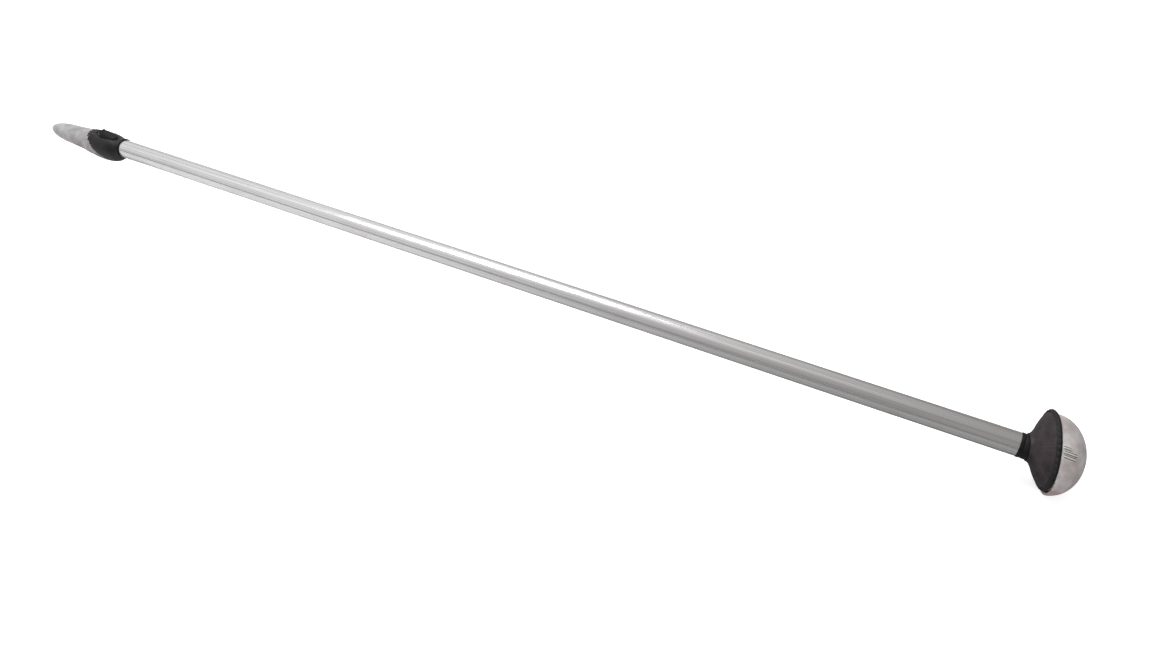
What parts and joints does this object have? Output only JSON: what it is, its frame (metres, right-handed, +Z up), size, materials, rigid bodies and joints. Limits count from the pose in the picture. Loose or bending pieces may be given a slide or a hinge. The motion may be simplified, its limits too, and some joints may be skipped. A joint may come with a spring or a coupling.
{
  "type": "roller extension pole",
  "caption": "Telescopic aluminium extension pole for a paint roller: tapered tool cone, black cam-lock collar, and a swivel palm knob with a flared grip and a domed cap.",
  "frame": {"origin": "on the surface that the pole lies on, under the middle of its bounding box", "axes": "+X along the tubes from the tool cone to the knob, +Z up through the lock lever, +Y to the back"},
  "size_m": [1.4218, 0.085, 0.0865],
  "materials": {
    "tube": "satin, drawn lengthwise",
    "steel": "zinc plated",
    "black_nylon": "moulded, satin",
    "black_rubber": "matte",
    "grey_nylon": "moulded, satin",
    "grey_cap": "moulded, satin",
    "white_nylon": "natural"
  },
  "bodies": {
    "outer_section": {"outer_tube": "tube", "collar_body": "black_nylon", "collar_liner": "white_nylon", "wiper_ring": "black_rubber", "collar_screw": "steel", "lever_pin": "steel", "ball_neck": "black_nylon", "neck_rivet_under": "steel", "neck_rivet_behind": "steel", "swivel_bolt": "steel", "nut_washer": "steel", "lock_nut": "steel"},
    "inner_section": {"inner_tube": "tube", "guide_bush": "white_nylon", "bush_pin": "steel", "tool_cone": "grey_nylon", "cone_pin": "steel"},
    "lever": {"lock_lever": "black_nylon"},
    "pad": {"brake_pad": "white_nylon"},
    "swivel": {"cup_washer": "steel", "swivel_spring": "steel"},
    "knob": {"bell": "black_nylon", "rim_ring": "black_rubber", "cap_gasket": "black_rubber", "dome_cap": "grey_cap"}
  },
  "joints": [
    {"name": "extension", "type": "slide", "parent": "outer_section", "child": "inner_section", "axis": [-1, 0, 0], "range_m": [0, 1]},
    {"name": "lever_flip", "type": "hinge", "parent": "outer_section", "child": "lever", "pos_m": [-0.60889, -0.00282, 0.05993], "axis": [0, -1, 0], "range_deg": [0, 100]},
    {"name": "pad_lift", "type": "slide", "parent": "outer_section", "child": "pad", "axis": [0, 0, 1], "range_m": [0, 0.00053]},
    {"name": "knob_spin", "type": "hinge", "parent": "outer_section", "child": "swivel", "pos_m": [0.65611, -0.00282, 0.04303], "axis": [1, 0, 0], "continuous": true},
    {"name": "knob_tilt", "type": "hinge", "parent": "swivel", "child": "knob", "pos_m": [0.65611, -0.00282, 0.04303], "axis": [0, -0.3437, 0.9391], "range_deg": [-25.5, 2]}
  ],
  "couplings": [
    {"joint": "pad_lift", "follows": "lever_flip", "m_per_rad": 0.0003}
  ]
}
